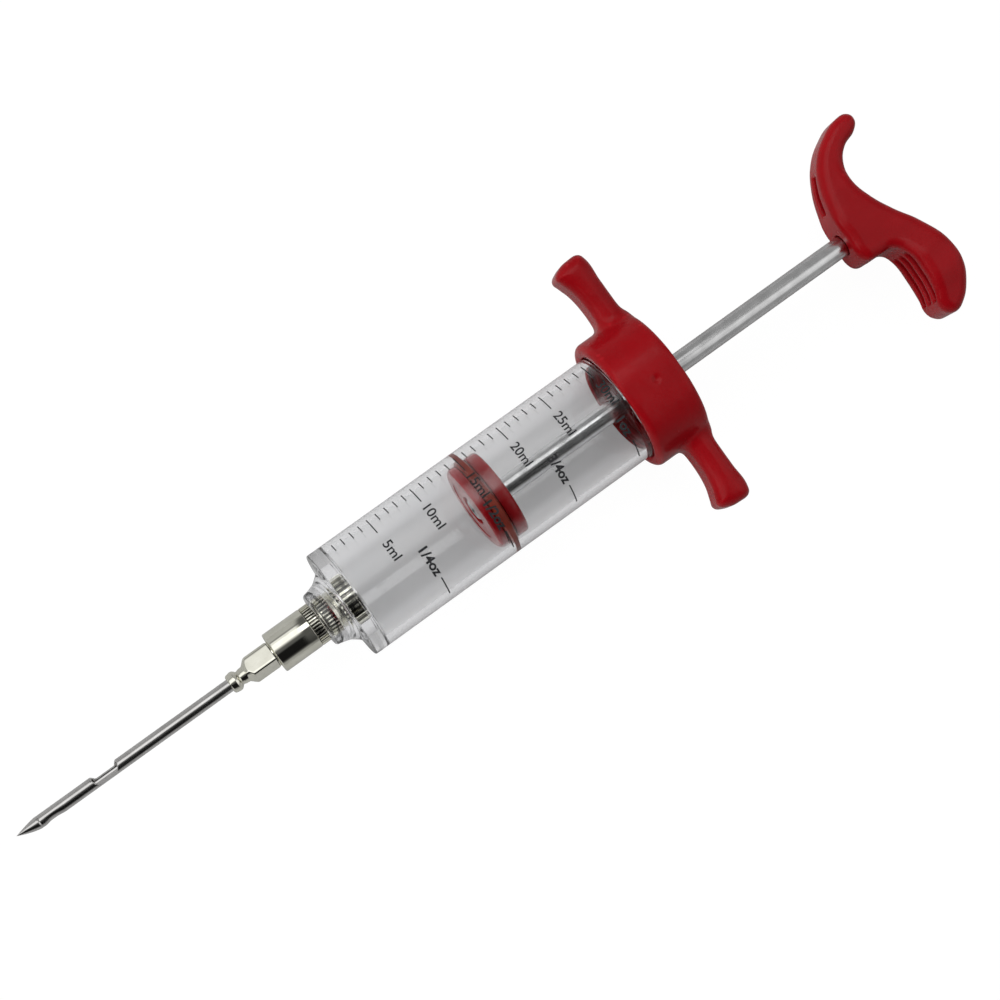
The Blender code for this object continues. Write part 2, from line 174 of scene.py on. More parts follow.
def filled_in(points, start, end, spacing):
    """The points with more between them, at most spacing apart, where x is from start to end."""
    dense = [points[0]]
    for (x0, r0), (x1, r1) in zip(points, points[1:]):
        parts = max(1, math.ceil(math.hypot(x1 - x0, r1 - r0) / spacing))
        if not (start <= min(x0, x1) and max(x0, x1) <= end):
            parts = 1
        dense += [(x0 + (x1 - x0) * k / parts, r0 + (r1 - r0) * k / parts) for k in range(1, parts + 1)]
    return dense


def turned(points, steps=96, reshape=None, ring=False):
    """A closed mesh of (x, radius) points turned round the axis. Angle 0 is up, 90 is towards +Y.

    reshape(x, angle, radius) gives another radius. A ring's last point joins its first.
    """
    shape = bmesh.new()
    rings = []
    for x, r in points:
        if r < 1e-6:
            rings.append([shape.verts.new((x * MM, 0, 0))])
            continue
        rings.append([])
        for step in range(steps):
            angle = 2 * math.pi * step / steps
            radius = reshape(x, angle, r) if reshape else r
            place = (x, radius * math.sin(angle), radius * math.cos(angle))
            rings[-1].append(shape.verts.new(Vector(place) * MM))
    for near, far in zip(rings, rings[1:] + ([rings[0]] if ring else [])):
        for step in range(steps):
            after = step + 1
            quad = [near[step % len(near)], near[after % len(near)]]
            quad += [far[after % len(far)], far[step % len(far)]]
            shape.faces.new(dict.fromkeys(quad))
    return shape


def smooth_step(x, start, end):
    """0 up to start and 1 from end, with a smooth rise between them."""
    t = np.clip((x - start) / (end - start), 0.0, 1.0)
    return t * t * (3 - 2 * t)


def thread_height(x, angle, start, end, lead, starts=1):
    """Height, 0 to 1, of a rounded right-hand thread that runs out at both of its ends."""
    phase = starts * (x / lead + angle / (2 * math.pi))
    ridge = smooth_step(np.cos(2 * math.pi * phase), -0.15, 0.75)
    fade = lead / starts * 0.4
    return ridge * smooth_step(x, start, start + fade) * smooth_step(-x, -end, fade - end)


def knurl(teeth, depth):
    """How far straight knurling cuts in at an angle: narrow valleys between flat-topped teeth."""

    def cut(angle):
        phase = abs((angle * teeth / (2 * math.pi)) % 1.0 - 0.5) * 2
        return depth * np.clip((phase - 0.42) / 0.25, 0.0, 1.0)

    return cut


def square_radius(angle, flats, turn, crisp=9):
    """Radius of a square of that size across its flats, with softened corners."""
    side = abs(math.cos(angle - turn)) ** crisp + abs(math.sin(angle - turn)) ** crisp
    return flats / 2 * side ** (-1 / crisp)


def soft_min(a, b, crisp=60):
    """The lesser of two lengths, softened where they meet."""
    return (a**-crisp + b**-crisp) ** (-1 / crisp)


def mesh_of(guide):
    """The evaluated mesh of a helper object, as a bmesh. The helper is removed."""
    bpy.context.view_layer.update()
    mesh = bpy.data.meshes.new_from_object(guide.evaluated_get(bpy.context.evaluated_depsgraph_get()))
    bpy.data.objects.remove(guide, do_unlink=True)
    shape = bmesh.new()
    shape.from_mesh(mesh)
    bpy.data.meshes.remove(mesh)
    bmesh.ops.remove_doubles(shape, verts=shape.verts, dist=0.002 * MM)
    return shape


def helper(name, shape=None, curve=None):
    """An object that only takes part in making a piece."""
    if shape:
        bmesh.ops.recalc_face_normals(shape, faces=shape.faces)
        data = bpy.data.meshes.new(name)
        shape.to_mesh(data)
        shape.free()
    else:
        data = curve
    guide = bpy.data.objects.new(name, data)
    bpy.context.scene.collection.objects.link(guide)
    return guide


def smooth_outline(corners, steps=12):
    """A smooth closed line through (x, y) corners, as an array of points."""
    corner = np.array(corners)
    back, ahead = corner - np.roll(corner, 1, 0), np.roll(corner, -1, 0) - corner
    back_length = np.linalg.norm(back, axis=1, keepdims=True)
    ahead_length = np.linalg.norm(ahead, axis=1, keepdims=True)
    along = back / back_length + ahead / ahead_length
    along /= np.linalg.norm(along, axis=1, keepdims=True) * 2.56
    controls = [corner, corner + along * ahead_length, corner - along * back_length, corner]
    controls[2:] = [np.roll(control, -1, 0) for control in controls[2:]]
    t = np.linspace(0, 1, steps, endpoint=False)[:, None]
    weights = ((1 - t) ** 3, 3 * (1 - t) ** 2 * t, 3 * (1 - t) * t**2, t**3)
    return sum(weight * control[:, None] for weight, control in zip(weights, controls)).reshape(-1, 2)


def outline_distance(x, y, line):
    """Distance of every (x, y) from a closed line, negative inside it."""
    nearest = np.full(np.broadcast(x, y).shape, np.inf)
    inside = np.zeros(nearest.shape, bool)
    for (x0, y0), (x1, y1) in zip(line, np.roll(line, -1, 0)):
        dx, dy = x1 - x0, y1 - y0
        along = np.clip(((x - x0) * dx + (y - y0) * dy) / (dx * dx + dy * dy), 0, 1)
        nearest = np.minimum(nearest, np.hypot(x - x0 - along * dx, y - y0 - along * dy))
        if dy:
            inside ^= ((y0 > y) != (y1 > y)) & (x < x0 + (y - y0) / dy * dx)
    return np.where(inside, -nearest, nearest)


def both(a, b, rounding):
    """Distance from what two shapes have in common, with that radius on the edge between them."""
    a, b = a + rounding, b + rounding
    return np.minimum(np.maximum(a, b), 0) + np.hypot(np.maximum(a, 0), np.maximum(b, 0)) - rounding


def joined(a, b, fillet):
    """Distance from two shapes grown together with a fillet."""
    share = np.clip(0.5 + 0.5 * (b - a) / fillet, 0, 1)
    return b + (a - b) * share - fillet * share * (1 - share)


def without(a, b, rounding):
    """Distance from a with b cut out of it."""
    return -joined(-a, b, rounding)


def moulded(low, high, cell, distance):
    """A closed mesh where distance(x, y, z), in millimetres on a grid of cells, passes through zero."""
    axes = [np.arange(a - 2 * cell, b + 2 * cell, cell) for a, b in zip(low, high)]
    field = distance(axes[0][:, None, None], axes[1][None, :, None], axes[2][None, None, :])
    inside = field < 0
    size = [n - 1 for n in field.shape]
    total, count = np.zeros((*size, 3)), np.zeros(size)
    for axis in range(3):
        others = [i for i in range(3) if i != axis]
        for steps in ((0, 0), (0, 1), (1, 0), (1, 1)):
            here = [slice(0, n) for n in size]
            for other, step in zip(others, steps):
                here[other] = slice(step, size[other] + step)
            there = list(here)
            there[axis] = slice(1, size[axis] + 1)
            here, there = tuple(here), tuple(there)
            crossed = inside[here] != inside[there]
            share = field[here] / np.where(crossed, field[here] - field[there], 1.0)
            total[..., axis] += np.where(crossed, share, 0)
            for other, step in zip(others, steps):
                total[..., other] += np.where(crossed, step, 0)
            count += crossed
    used = count > 0
    number = np.cumsum(used.ravel()).reshape(size) - 1
    places = np.argwhere(used) + total[used] / count[used][:, None]
    places = places * cell + [axis[0] for axis in axes]
    quads = []
    for axis in range(3):
        a, b = (axis + 1) % 3, (axis + 2) % 3
        near = np.take(inside, range(size[axis]), axis)
        far = np.take(inside, range(1, size[axis] + 1), axis)
        for going_out in (True, False):
            cells = np.argwhere(near & ~far if going_out else far & ~near)
            corners = []
            for back_a, back_b in ((1, 1), (0, 1), (0, 0), (1, 0)):
                at = cells.copy()
                at[:, a] -= back_a
                at[:, b] -= back_b
                corners.append(number[tuple(at.T)])
            quads.append(np.stack(corners if going_out else corners[::-1], 1))
    mesh = bpy.data.meshes.new("moulded")
    mesh.from_pydata((places * MM).tolist(), [], np.concatenate(quads).tolist())
    shape = bmesh.new()
    shape.from_mesh(mesh)
    bpy.data.meshes.remove(mesh)
    all_ways = {"use_axis_x": True, "use_axis_y": True, "use_axis_z": True}
    for _ in range(2):
        bmesh.ops.smooth_vert(shape, verts=shape.verts, factor=0.5, **all_ways)
    return shape


def box_shape(low, high):
    """A box between two corners, in millimetres."""
    shape = bmesh.new()
    bmesh.ops.create_cube(shape, size=1.0)
    low, high = Vector(low), Vector(high)
    bmesh.ops.scale(shape, vec=(high - low) * MM, verts=shape.verts)
    bmesh.ops.translate(shape, vec=(high + low) / 2 * MM, verts=shape.verts)
    return shape


# ---- materials ----


def new_material(name, roughness, metallic=0.0, **sockets):
    material = bpy.data.materials.new(name)
    material.use_nodes = True
    shader = material.node_tree.nodes["Principled BSDF"]
    shader.inputs["Roughness"].default_value = roughness
    shader.inputs["Metallic"].default_value = metallic
    for socket, value in sockets.items():
        shader.inputs[socket.replace("_", " ")].default_value = value
    return material, material.node_tree, shader


def noise(tree, per_mm, detail=3.0, roughness=0.5):
    """Noise in the piece's own coordinates, with its own number of features per mm along x, y, z."""
    coordinates = tree.nodes.new("ShaderNodeTexCoord")
    mapping = tree.nodes.new("ShaderNodeMapping")
    mapping.inputs["Scale"].default_value = Vector(per_mm) / MM
    tree.links.new(coordinates.outputs["Object"], mapping.inputs["Vector"])
    texture = tree.nodes.new("ShaderNodeTexNoise")
    texture.inputs["Scale"].default_value = 1.0
    texture.inputs["Detail"].default_value = detail
    texture.inputs["Roughness"].default_value = roughness
    tree.links.new(mapping.outputs["Vector"], texture.inputs["Vector"])
    return texture.outputs["Fac"]


def ramp(tree, factor, stops):
    """A colour for each value of factor, from (position, colour) stops."""
    node = tree.nodes.new("ShaderNodeValToRGB")
    while len(node.color_ramp.elements) < len(stops):
        node.color_ramp.elements.new(0.5)
    for element, (position, colour) in zip(node.color_ramp.elements, stops):
        element.position = position
        element.color = (*colour, 1.0)
    tree.links.new(factor, node.inputs["Fac"])
    return node.outputs["Color"]


def ranged(tree, factor, low, high, start=0.3, end=0.7):
    """factor, from start to end, as a number from low to high."""
    node = tree.nodes.new("ShaderNodeMapRange")
    for socket, value in (("From Min", start), ("From Max", end), ("To Min", low), ("To Max", high)):
        node.inputs[socket].default_value = value
    tree.links.new(factor, node.inputs["Value"])
    return node.outputs["Result"]


def blend(tree, factor, a, b):
    """Colour a where factor is 0 and b where it is 1. Each is a colour or a socket."""
    node = tree.nodes.new("ShaderNodeMix")
    node.data_type = "RGBA"
    tree.links.new(factor, node.inputs["Factor"])
    for socket, colour in (("A", a), ("B", b)):
        if isinstance(colour, tuple):
            node.inputs[socket].default_value = (*colour, 1.0)
        else:
            tree.links.new(colour, node.inputs[socket])
    return node.outputs["Result"]


def combined(tree, operation, a, b):
    """Two sockets put through a Math node."""
    node = tree.nodes.new("ShaderNodeMath")
    node.operation = operation
    tree.links.new(a, node.inputs[0])
    tree.links.new(b, node.inputs[1])
    return node.outputs["Value"]


def place_in_piece(tree):
    """X, Y and Z sockets of the piece's own coordinates."""
    coordinates = tree.nodes.new("ShaderNodeTexCoord")
    split = tree.nodes.new("ShaderNodeSeparateXYZ")
    tree.links.new(coordinates.outputs["Object"], split.inputs["Vector"])
    return split.outputs


def mixed_surface(tree, factor, a, b):
    """Makes the material's surface shader a where factor is 0, and b where it is 1."""
    mix = tree.nodes.new("ShaderNodeMixShader")
    tree.links.new(factor, mix.inputs["Fac"])
    tree.links.new(a, mix.inputs[1])
    tree.links.new(b, mix.inputs[2])
    tree.links.new(mix.outputs["Shader"], tree.nodes["Material Output"].inputs["Surface"])


def bump(tree, shader, height, depth):
    """Relief of that depth in mm on the shader's normal."""
    node = tree.nodes.new("ShaderNodeBump")
    node.inputs["Strength"].default_value = 1.0
    node.inputs["Distance"].default_value = depth * MM
    tree.links.new(height, node.inputs["Height"])
    earlier = shader.inputs["Normal"].links
    if earlier:
        tree.links.new(earlier[0].from_socket, node.inputs["Normal"])
    tree.links.new(node.outputs["Normal"], shader.inputs["Normal"])


def red_plastic(name, specular, shine):
    """Red moulding: faint colour flow, orange peel, and edges rubbed lighter."""
    material, tree, shader = new_material(name, shine[0], Specular_IOR_Level=specular)
    flow = ramp(tree, noise(tree, (0.05, 0.09, 0.07), 4.0), ((0.3, RED_DARK), (0.7, RED)))
    geometry = tree.nodes.new("ShaderNodeNewGeometry")
    edges = ranged(tree, geometry.outputs["Pointiness"], 0.0, 0.5, 0.51, 0.57)
    tree.links.new(blend(tree, edges, flow, RED_LIGHT), shader.inputs["Base Color"])
    smears = ranged(tree, noise(tree, (0.25, 0.16, 0.2), 5.0, 0.65), *shine)
    tree.links.new(smears, shader.inputs["Roughness"])
    bump(tree, shader, noise(tree, (0.22, 0.22, 0.22), 2.0), 0.12)
    bump(tree, shader, noise(tree, (1.2, 1.2, 1.2), 2.0), 0.004)
    return material


def clear_acrylic():
    """Clear moulding with draw lines along it, and cloudy where it was moulded round the insert.
    It lets lamps through to what it holds."""
    material, tree, shader = new_material("clear_acrylic", 0.02, IOR=1.49, Transmission_Weight=1.0)
    clouds = noise(tree, (0.04, 0.12, 0.12), 3.0)
    cloudy = ramp(tree, clouds, ((0.3, (0.95, 0.955, 0.96)), (0.7, (0.985,) * 3)))
    tree.links.new(cloudy, shader.inputs["Base Color"])
    neck = ranged(tree, place_in_piece(tree)["X"], 0.09, 0.0, (BASE_X - 0.5) * MM, (BASE_X + 2.0) * MM)
    scuffs = ranged(tree, noise(tree, (0.9, 0.25, 0.25), 6.0, 0.7), 0.0, 0.05, 0.5, 0.8)
    tree.links.new(combined(tree, "ADD", neck, scuffs), shader.inputs["Roughness"])
    bump(tree, shader, noise(tree, (0.02, 0.35, 0.35), 2.0), 0.008)
    clear = tree.nodes.new("ShaderNodeBsdfTransparent")
    clear.inputs["Color"].default_value = (0.93, 0.93, 0.93, 1.0)
    path = tree.nodes.new("ShaderNodeLightPath")
    mixed_surface(tree, path.outputs["Is Shadow Ray"], shader.outputs["BSDF"], clear.outputs["BSDF"])
    return material


def metal(name, dark, light, shine, lines, relief):
    """Bare or plated metal with fine lines. lines is features per mm along x, y and z."""
    material, tree, shader = new_material(name, shine[0], 1.0)
    cloud = ramp(tree, noise(tree, (0.3, 0.4, 0.4), 4.0), ((0.3, dark), (0.7, light)))
    tree.links.new(cloud, shader.inputs["Base Color"])
    grain = noise(tree, lines, 3.0, 0.6)
    tree.links.new(ranged(tree, grain, *shine), shader.inputs["Roughness"])
    bump(tree, shader, grain, relief)
    return material


def knurled_nickel():
    """Nickel plate with painted shade in the knurling's valleys, which lie nearer the axis than its teeth."""
    material = metal("knurled_nickel", *NICKEL)
    tree = material.node_tree
    shader = tree.nodes["Principled BSDF"]
    place = place_in_piece(tree)
    across = tree.nodes.new("ShaderNodeCombineXYZ")
    tree.links.new(place["Y"], across.inputs["Y"])
    tree.links.new(place["Z"], across.inputs["Z"])
    out = tree.nodes.new("ShaderNodeVectorMath")
    out.operation = "LENGTH"
    tree.links.new(across.outputs["Vector"], out.inputs[0])
    # The rear ring is bigger than the other two, so its radius counts from a step up.
    flange, step = (INSERT.end - 3.5) * MM, (INSERT.radius - KNURL_R) * MM
    step_up = ranged(tree, place["X"], 0.0, step, flange - 0.1 * MM, flange)
    depth = combined(tree, "SUBTRACT", out.outputs["Value"], step_up)
    below_teeth = ranged(tree, depth, 0.8, 0.0, (KNURL_R - 0.4) * MM, (KNURL_R - 0.1) * MM)
    above_necks = ranged(tree, depth, 0.0, 1.0, (KNURL_R - 0.75) * MM, (KNURL_R - 0.65) * MM)
    # Painted shade: the knurling's valleys are coloured dark, standing in for the shade between the teeth.
    valley_shade = combined(tree, "MULTIPLY", below_teeth, above_necks)
    plated = shader.inputs["Base Color"].links[0].from_socket
    tree.links.new(blend(tree, valley_shade, plated, KNURL_VALLEY_SHADE), shader.inputs["Base Color"])
    return material


def soft_plastic(name, dark, light, shine, relief):
    """Nylon or rubber: soft mottling and a fine dull skin."""
    material, tree, shader = new_material(name, shine[0], Specular_IOR_Level=0.4)
    mottled = ramp(tree, noise(tree, (0.5, 0.5, 0.5), 4.0), ((0.3, dark), (0.7, light)))
    tree.links.new(mottled, shader.inputs["Base Color"])
    tree.links.new(ranged(tree, noise(tree, (1.4, 1.4, 1.4), 3.0), *shine), shader.inputs["Roughness"])
    bump(tree, shader, noise(tree, (5.0, 5.0, 5.0), 2.0), relief)
    return material


# Darkest and lightest colour, roughness, lines per mm along x, y and z, and relief in mm.
NICKEL = ((0.71, 0.70, 0.61), (0.81, 0.80, 0.71), (0.02, 0.07), (6.0, 0.2, 0.2), 0.0006)
NEEDLE_STEEL = ((0.50, 0.49, 0.48), (0.62, 0.61, 0.60), (0.10, 0.22), (0.15, 5.0, 5.0), 0.0010)
ROD_STEEL = ((0.52, 0.52, 0.52), (0.66, 0.66, 0.66), (0.12, 0.26), (0.10, 4.0, 4.0), 0.0012)
BRASS = ((0.62, 0.43, 0.16), (0.74, 0.54, 0.24), (0.20, 0.35), (6.0, 0.2, 0.2), 0.0010)
# Painted shade: the dark colour of the knurling's valleys.
KNURL_VALLEY_SHADE = (0.05, 0.045, 0.04)
# Darkest and lightest colour, roughness and relief in mm.
SILICONE = ((0.15, 0.012, 0.005), (0.23, 0.024, 0.009), (0.35, 0.55), 0.003)
NYLON = ((0.68, 0.66, 0.60), (0.78, 0.77, 0.72), (0.35, 0.5), 0.003)
INK = ((0.006, 0.006, 0.007), (0.020, 0.020, 0.023), (0.5, 0.7), 0.002)


def make_materials():
    """Every material, by name."""
    return {
        "red_plastic": red_plastic("red_plastic", 0.12, (0.16, 0.30)),
        "piston_plastic": red_plastic("piston_plastic", 0.3, (0.06, 0.14)),
        "clear_acrylic": clear_acrylic(),
        "nickel_plate": metal("nickel_plate", *NICKEL),
        "knurled_nickel": knurled_nickel(),
        "needle_steel": metal("needle_steel", *NEEDLE_STEEL),
        "rod_steel": metal("rod_steel", *ROD_STEEL),
        "brass": metal("brass", *BRASS),
        "silicone": soft_plastic("silicone", *SILICONE),
        "white_nylon": soft_plastic("white_nylon", *NYLON),
        "ink": soft_plastic("ink", *INK),
    }


# ---- needle ----


def needle_point(material):
    """Ground point: a slightly bulging cone to one side of the axis, on a spigot in the tube."""
    shoulder = TUBE.start
    length = shoulder - POINT.start
    points = [(POINT.end, 0.0), (POINT.end, 0.75), (POINT.end - 0.15, 0.9), (shoulder - 0.05, 0.9)]
    points += [(shoulder - 0.05, TUBE.radius - 0.05), (shoulder - 0.12, TUBE.radius)]
    points += [(shoulder - 0.7, TUBE.radius)]
    for k in range(1, 25):
        t = k / 24
        points.append((shoulder - 0.7 - (length - 0.7) * t, TUBE.radius * (1 - t) * (1 + 0.42 * t)))

    def facets(x, angle, radius):
        """Three ground flats, faint at the shoulder and plain at the tip."""
        t = smooth_step(shoulder - 1.0 - x, 0.0, length - 1.0)
        face = (angle - math.radians(20)) % math.radians(120) - math.radians(60)
        return radius * (1 - 0.5 * t * (1 - math.cos(math.radians(60)) / math.cos(face) * 1.2) ** 2)

    shape = turned(points, 72, facets)
    for vertex in shape.verts:
        ahead = max(0.0, (shoulder - vertex.co.x / MM) / length)
        vertex.co.y += 0.4 * ahead**1.3 * MM
    add_piece("needle_point_ground", shape, "needle", material, ["needle_point"])


def needle_tube(material):
    """Thin steel tube with the side port cut through its wall and a crimp behind the point."""
    bore = TUBE.radius - TUBE_WALL
    corners = [(TUBE.start, bore, 0.06), (TUBE.start, TUBE.radius, 0.08)]
    corners += [(TUBE.end, TUBE.radius, 0.08), (TUBE.end, bore, 0.06)]
    points = rounded(corners)
    points = filled_in(points + points[:1], TUBE.start, TUBE.end, 0.5)[:-1]

    def crimp(x, angle, radius):
        behind = x - TUBE.start
        along = smooth_step(behind, 0.6, 2.2) * smooth_step(-behind, -6.0, -3.6)
        below = smooth_step(-math.sin(angle), -0.2, 1.0)
        return radius - 0.24 * along * below if radius > bore + 0.1 else radius - 0.05 * along * below

    tube = helper("tube", turned(points, 64, crimp, ring=True))
    low, high = PORT_START, PORT_END
    profile = [(low - 2.1, 3.0), (low - 0.1, -0.20), (low + 0.35, -0.35)]
    profile += [(high - 0.45, -0.35), (high + 1.6, 3.0)]
    cutter = bmesh.new()
    sides = [[cutter.verts.new(Vector((x, y, z)) * MM) for x, z in profile] for y in (-3.0, 3.0)]
    cutter.faces.new(sides[0])
    cutter.faces.new(sides[1][::-1])
    for k in range(len(profile)):
        after = (k + 1) % len(profile)
        cutter.faces.new((sides[0][after], sides[0][k], sides[1][k], sides[1][after]))
    cutter.transform(Matrix.Rotation(PORT_TURN - math.pi / 2, 4, "X"))
    port = helper("port", cutter)
    tube.modifiers.new("port", "BOOLEAN").object = port
    soften = tube.modifiers.new("soften", "BEVEL")
    soften.width = 0.07 * MM
    soften.segments = 2
    soften.limit_method = "ANGLE"
    soften.angle_limit = math.radians(50)
    shape = mesh_of(tube)
    bpy.data.objects.remove(port, do_unlink=True)
    add_piece("needle_tube_ported", shape, "needle", material, ["needle_tube"])


def cone_r(x):
    """Radius of the male Luer cone at x."""
    return CONE_FRONT_R + (x - INSERT.start) * CONE_TAPER


def needle_hub(material):
    """Turned and milled hub: bead, waist, cone running into a square, neck, and locking lugs."""
    front, rear = HUB.start, HUB.end
    square = (front + 6.1, front + 11.6)
    corner_r = FLATS / math.sqrt(2) - 0.1
    socket_x = INSERT.start - 1.4
    outer = [(front, TUBE.radius + 0.1, 0), (front, TUBE.radius + 0.35, 0.25), (front + 0.25, 2.25, 0.9)]
    outer += [(front + 1.9, 2.55, 1.1), (front + 2.75, 1.62, 0.35), (front + 3.3, 1.85, 0.2)]
    outer += [(front + 4.3, 1.95, 0.3), (square[0], corner_r, 0.25), (square[1], corner_r, 0.12)]
    outer += [(square[1], 3.1, 0.15), (rear - 2.2, 3.1, 0.3), (rear - 2.0, HUB.radius, 0.2)]
    outer += [(rear, HUB.radius, 0.2), (rear, cone_r(rear) + 0.1, 0.1)]
    inner = [(socket_x, cone_r(socket_x) + 0.1, 0), (socket_x, TUBE.radius - TUBE_WALL, 0)]
    inner += [(TUBE.end + 0.15, TUBE.radius - TUBE_WALL, 0), (TUBE.end + 0.15, TUBE.radius + 0.1, 0)]
    points = filled_in(rounded(outer + inner, 6), front + 3.4, square[1] + 0.01, 0.09)

    def reshape(x, angle, radius):
        if front + 3.9 < x <= square[1] + 0.001 and radius > TUBE.radius + 0.2:
            return soft_min(radius, square_radius(angle, FLATS, FLATS_TURN))
        if x > rear - 2.1 and radius > 3.2:
            ears = smooth_step(abs(math.cos(angle - FLATS_TURN)), 0.55, 0.75)
            return 3.2 + (radius - 3.2) * ears
        return radius

    shape = turned(points, 192, reshape, ring=True)
    add_piece("needle_hub_milled", shape, "needle", material, ["needle_hub"], 32)


def needle_washer(material):
    """Flat nylon washer round the Luer cone."""
    inner = cone_r(WASHER.start) + 0.25
    corners = [(WASHER.start, inner, 0.2), (WASHER.start, WASHER.radius, 0.25)]
    corners += [(WASHER.end, WASHER.radius, 0.25), (WASHER.end, inner, 0.2)]
    shape = turned(rounded(corners), 72, ring=True)
    add_piece("needle_washer_turned", shape, "needle_seal", material, ["needle_washer"])


def lock_sleeve(material):
    """Plated sleeve with a rolled front edge and the two-start locking thread in its bore."""
    start, end, outer = SLEEVE
    bore, hole, seat = SLEEVE_BORE_R, SLEEVE_SEAT_R, WASHER.end + 0.1
    corners = [(start, bore + 0.1, 0.2), (start, outer, 0.55), (end, outer, 0.12)]
    corners += [(end, hole, 0), (seat, hole, 0), (seat, bore, 0), (start + 0.5, bore, 0)]
    points = rounded(corners, 6)
    points = filled_in(points + points[:1], SLEEVE.start + 0.4, seat, 0.16)[:-1]

    def thread(x, angle, radius):
        if abs(radius - bore) > 0.01:
            return radius
        return radius - 0.2 * thread_height(x, angle, SLEEVE.start + 0.5, seat - 0.8, LUER_LEAD, 2)

    shape = turned(points, 120, thread, ring=True)
    add_piece("lock_sleeve_threaded", shape, "barrel", material, ["lock_sleeve"])


def nozzle_insert(material):
    """Luer cone and the three knurled rings that hold it in the moulding, with turned necks."""
    rear, face = INSERT.end, WASHER.end + 0.1
    bore, front_neck, neck = 1.1, 2.95, 4.1
    rings = [(rear - 11.75, rear - 9.45, KNURL_R), (rear - 8.25, rear - 5.35, KNURL_R)]
    rings.append((rear - 3.45, rear, INSERT.radius))
    cuts = {rings[0]: knurl(40, 0.5), rings[1]: knurl(38, 0.55), rings[2]: knurl(34, 0.55)}
    corners = [(INSERT.start, bore, 0.1), (INSERT.start, cone_r(INSERT.start), 0.2)]
    corners += [(face, cone_r(face), 0), (face, front_neck, 0)]
    for index, (start, end, radius) in enumerate(rings):
        corners += [(start, front_neck if index == 0 else neck, 0.1), (start, radius, 0.2)]
        corners += [(end, radius, 0.2), (end, neck, 0.1)] if index < 2 else [(end, radius, 0.1)]
    corners += [(rear, 3.0, 0), (rear - 2.0, bore, 0)]

    def teeth(x, angle, radius):
        for (start, end, outer), cut in cuts.items():
            if start - 0.01 <= x <= end + 0.01 and radius > outer - 0.7:
                edge = smooth_step(radius, outer - 0.7, outer - 0.1)
                return radius - cut(angle) * edge
        return radius

    shape = turned(rounded(corners), 840, teeth, ring=True)
    add_piece("nozzle_insert_knurled", shape, "barrel", material, ["nozzle_insert"], 30)


# ---- barrel and its scale ----


def barrel(material):
    """Clear neck, base plate and tube in one moulding, with a thread for the cap."""
    front, rear, gap = BARREL.start, BARREL.end, 0.1
    thread_start, flange = rear - 11.6, INSERT.end - 3.45 - gap
    outer = [(front, KNURL_R + gap, 0.1), (front, 6.6, 0.7), (front + 1.6, 6.95, 1.0)]
    outer += [(BASE_X - 2.6, 7.5, 2.0), (BASE_X - 0.6, 9.0, 1.6), (BASE_X, 11.6, 0.8), (BASE_X, WALL_R, 0.35)]
    outer += [(thread_start, WALL_R, 0), (rear, WALL_R, 0.35)]
    pocket = [(rear, BORE_R, 0.3), (FLOOR_X, BORE_R, 0.7), (FLOOR_X, INSERT.radius + gap, 0.15)]
    pocket += [(flange, INSERT.radius + gap, 0.1), (flange, KNURL_R + gap, 0.1)]
    points = rounded(outer + pocket, 6)
    points = filled_in(points, thread_start - 0.01, rear + 0.01, 0.2)

    def thread(x, angle, radius):
        if radius < WALL_R - 0.02 or x < thread_start:
            return radius
        return radius + 0.32 * thread_height(x, angle, thread_start, rear - 0.3, CAP_PITCH)

    shape = turned(points, 160, thread, ring=True)
    add_piece("barrel_moulding", shape, "barrel", material, ["barrel"])


INK_GAP, INK_DEPTH = 0.006, 0.03
# Where the millilitre ticks start and end round the barrel, in degrees.
TICK_START, TICK_END, LONG_TICK_END = 64, 50.5, 38
ML_FIRST_X, ML_STEP = BARREL.start + 9.2, 2.4
ML_PER_OZ = 29.57


def on_barrel(x, angle, height):
    """The point at x and that angle, that high over the barrel's printed face."""
    radius = WALL_R + INK_GAP + height
    return Vector((x, radius * math.sin(angle), radius * math.cos(angle))) * MM


def add_line(shape, x, start, end, width):
    """A printed line round the barrel at x, between two angles in degrees."""
    steps = max(2, math.ceil(abs(end - start) / 4))
    sections = []
    for k in range(steps + 1):
        angle = math.radians(start + (end - start) * k / steps)
        corners = ((-0.5, 0.0), (0.5, 0.0), (0.5, INK_DEPTH), (-0.5, INK_DEPTH))
        sections.append([shape.verts.new(on_barrel(x + side * width, angle, up)) for side, up in corners])
    for near, far in zip(sections, sections[1:]):
        for k in range(4):
            shape.faces.new((near[k], near[k - 1], far[k - 1], far[k]))
    shape.faces.new(sections[0])
    shape.faces.new(sections[-1][::-1])


def add_label(shape, text, x, start, length, height, weight):
    """Printed text that starts at an angle and reads towards -Y, with its top towards the handle."""
    curve = bpy.data.curves.new(text, "FONT")
    curve.body = text
    curve.extrude = 0.5
    curve.offset = weight
    curve.resolution_u = 4
    letters = mesh_of(helper(text, curve=curve))
    low = Vector([min(v.co[i] for v in letters.verts) for i in range(3)])
    high = Vector([max(v.co[i] for v in letters.verts) for i in range(3)])
    for vertex in letters.verts:
        share = [(vertex.co[i] - low[i]) / (high[i] - low[i]) for i in range(3)]
        vertex.co = (share[0] * length, (share[1] - 0.5) * height, share[2] * INK_DEPTH)
    bmesh.ops.remove_doubles(letters, verts=letters.verts, dist=0.002)
    for k in range(1, math.ceil(length / 0.5)):
        geometry = letters.verts[:] + letters.edges[:] + letters.faces[:]
        bmesh.ops.bisect_plane(letters, geom=geometry, plane_co=(k * 0.5, 0, 0), plane_no=(1, 0, 0))
    for vertex in letters.verts:
        along, across, up = vertex.co
        vertex.co = on_barrel(x + across, math.radians(start) - along / WALL_R, up)
    mesh = bpy.data.meshes.new(text)
    letters.to_mesh(mesh)
    letters.free()
    shape.from_mesh(mesh)
    bpy.data.meshes.remove(mesh)


